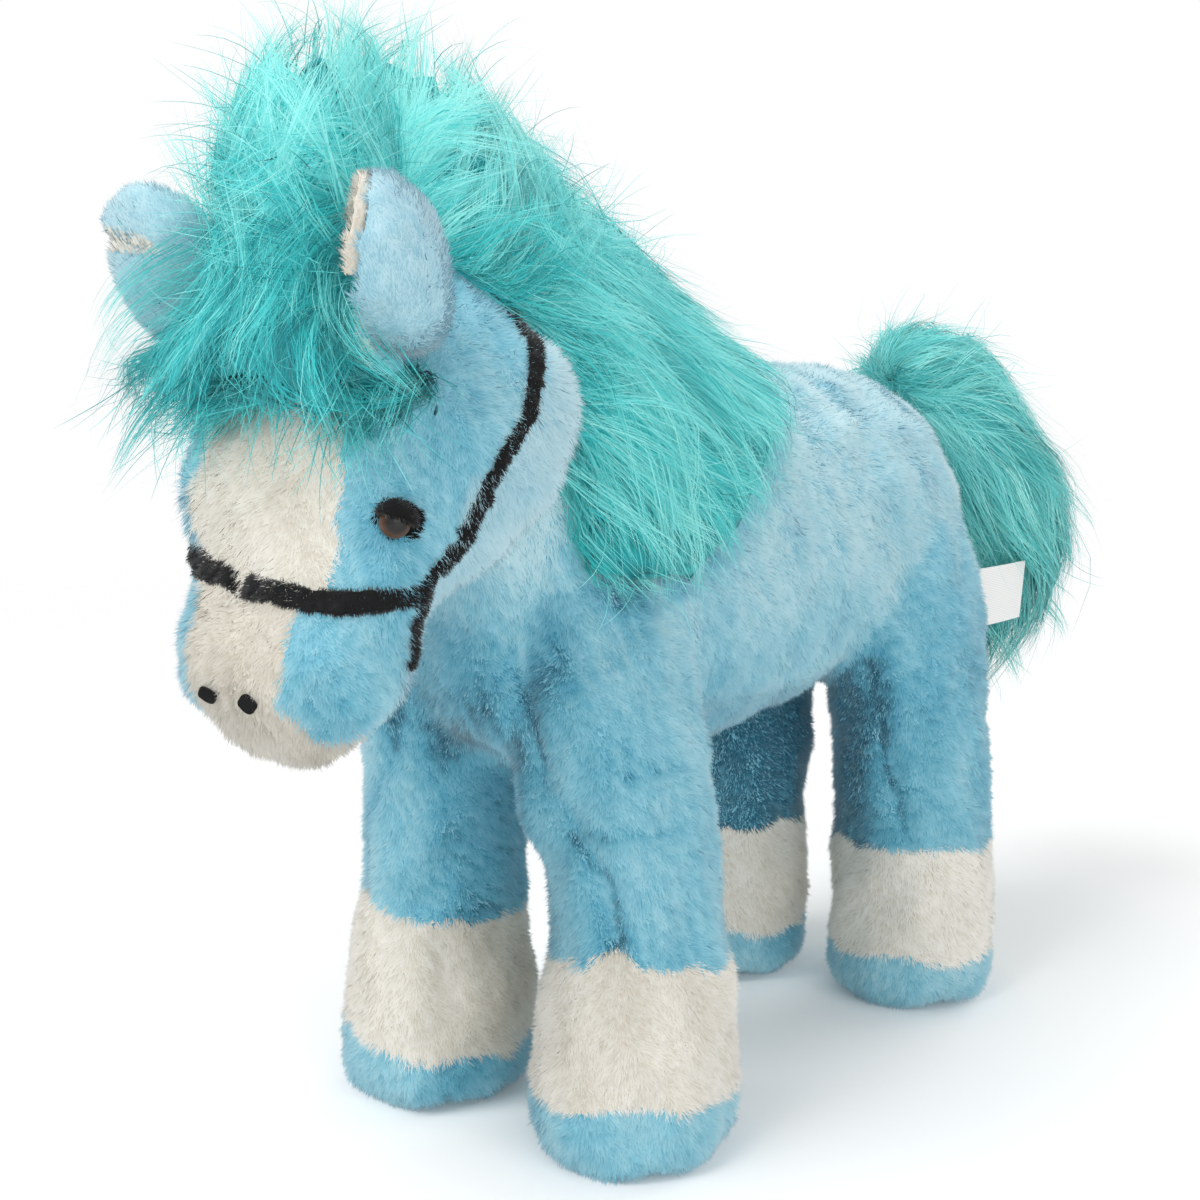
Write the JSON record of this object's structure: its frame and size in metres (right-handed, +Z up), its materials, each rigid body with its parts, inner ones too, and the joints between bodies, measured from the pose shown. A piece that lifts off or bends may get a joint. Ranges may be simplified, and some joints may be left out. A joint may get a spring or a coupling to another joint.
{
  "type": "plush horse",
  "caption": "Standing stuffed toy horse in blue short-pile plush with white socks, a long-pile mane and tail, and a ribbon bridle.",
  "frame": {"origin": "on the floor, under the middle of the outer box", "axes": "+Z up, the nose towards -Y and the tail towards +Y, the horse's left side towards +X"},
  "size_m": [0.1316, 0.3856, 0.3043],
  "materials": {
    "blue_plush": "short-pile polyester plush, sky blue, pile about 5 mm",
    "pale_blue_plush": "short-pile polyester plush, pale sky blue, pile about 5 mm",
    "white_plush": "short-pile polyester plush, cream white, pile about 5 mm",
    "stuffing": "loose polyester fibre stuffing",
    "long_pile": "long-pile polyester fur, turquoise, pile about 50 mm",
    "black_ribbon": "black velvet ribbon",
    "black_felt": "black craft felt",
    "black_thread": "black satin-stitch embroidery",
    "eye_plastic": "moulded brown plastic with a dark pupil, polished",
    "washer_plastic": "pressed white plastic washer",
    "satin_label": "white woven satin tape, bare"
  },
  "bodies": {
    "body": {"belly_gusset": "blue_plush", "left_side_panel": "blue_plush", "right_side_panel": "blue_plush", "body_stuffing": "stuffing", "neck_stuffing": "stuffing", "head_stuffing": "stuffing", "left_front_hoof": "blue_plush", "left_front_sock": "white_plush", "left_front_leg_cover": "blue_plush", "left_front_leg_stuffing": "stuffing", "right_front_hoof": "blue_plush", "right_front_sock": "white_plush", "right_front_leg_cover": "blue_plush", "right_front_leg_stuffing": "stuffing", "left_hind_hoof": "blue_plush", "left_hind_sock": "white_plush", "left_hind_leg_cover": "blue_plush", "left_hind_leg_stuffing": "stuffing", "right_hind_hoof": "blue_plush", "right_hind_sock": "white_plush", "right_hind_leg_cover": "blue_plush", "right_hind_leg_stuffing": "stuffing", "blaze_panel": "white_plush", "muzzle_panel": "white_plush", "left_cheek_panel": "blue_plush", "left_jaw_panel": "pale_blue_plush", "left_muzzle_patch": "blue_plush", "left_eye": "eye_plastic", "left_eye_washer": "washer_plastic", "left_eye_felt": "black_felt", "left_nostril": "black_thread", "right_cheek_panel": "blue_plush", "right_jaw_panel": "pale_blue_plush", "right_muzzle_patch": "blue_plush", "right_eye": "eye_plastic", "right_eye_washer": "washer_plastic", "right_eye_felt": "black_felt", "right_nostril": "black_thread", "noseband": "black_ribbon", "headstall": "black_ribbon", "mane": "long_pile", "forelock": "long_pile"},
    "left_ear": {"left_ear": "pale_blue_plush", "left_ear_lining": "white_plush"},
    "right_ear": {"right_ear": "pale_blue_plush", "right_ear_lining": "white_plush"},
    "tail": {"tail": "long_pile"},
    "label": {"label": "satin_label"}
  },
  "joints": [
    {"name": "left_ear_fold", "type": "hinge", "parent": "body", "child": "left_ear", "pos_m": [0.03261, -0.15947, 0.22288], "axis": [1, 0, 0], "range_deg": [-12, 25], "stiffness_Nm_per_rad": 0.01},
    {"name": "right_ear_fold", "type": "hinge", "parent": "body", "child": "right_ear", "pos_m": [-0.03667, -0.15782, 0.22466], "axis": [1, 0, 0], "range_deg": [-12, 25], "stiffness_Nm_per_rad": 0.01},
    {"name": "tail_lift", "type": "hinge", "parent": "body", "child": "tail", "pos_m": [-0.00175, 0.11224, 0.202], "axis": [1, 0, 0], "range_deg": [0, 60]},
    {"name": "label_flap", "type": "hinge", "parent": "body", "child": "label", "pos_m": [0.03025, 0.11189, 0.1235], "axis": [0, 0, 1], "range_deg": [-20, 20], "stiffness_Nm_per_rad": 0.0001}
  ]
}
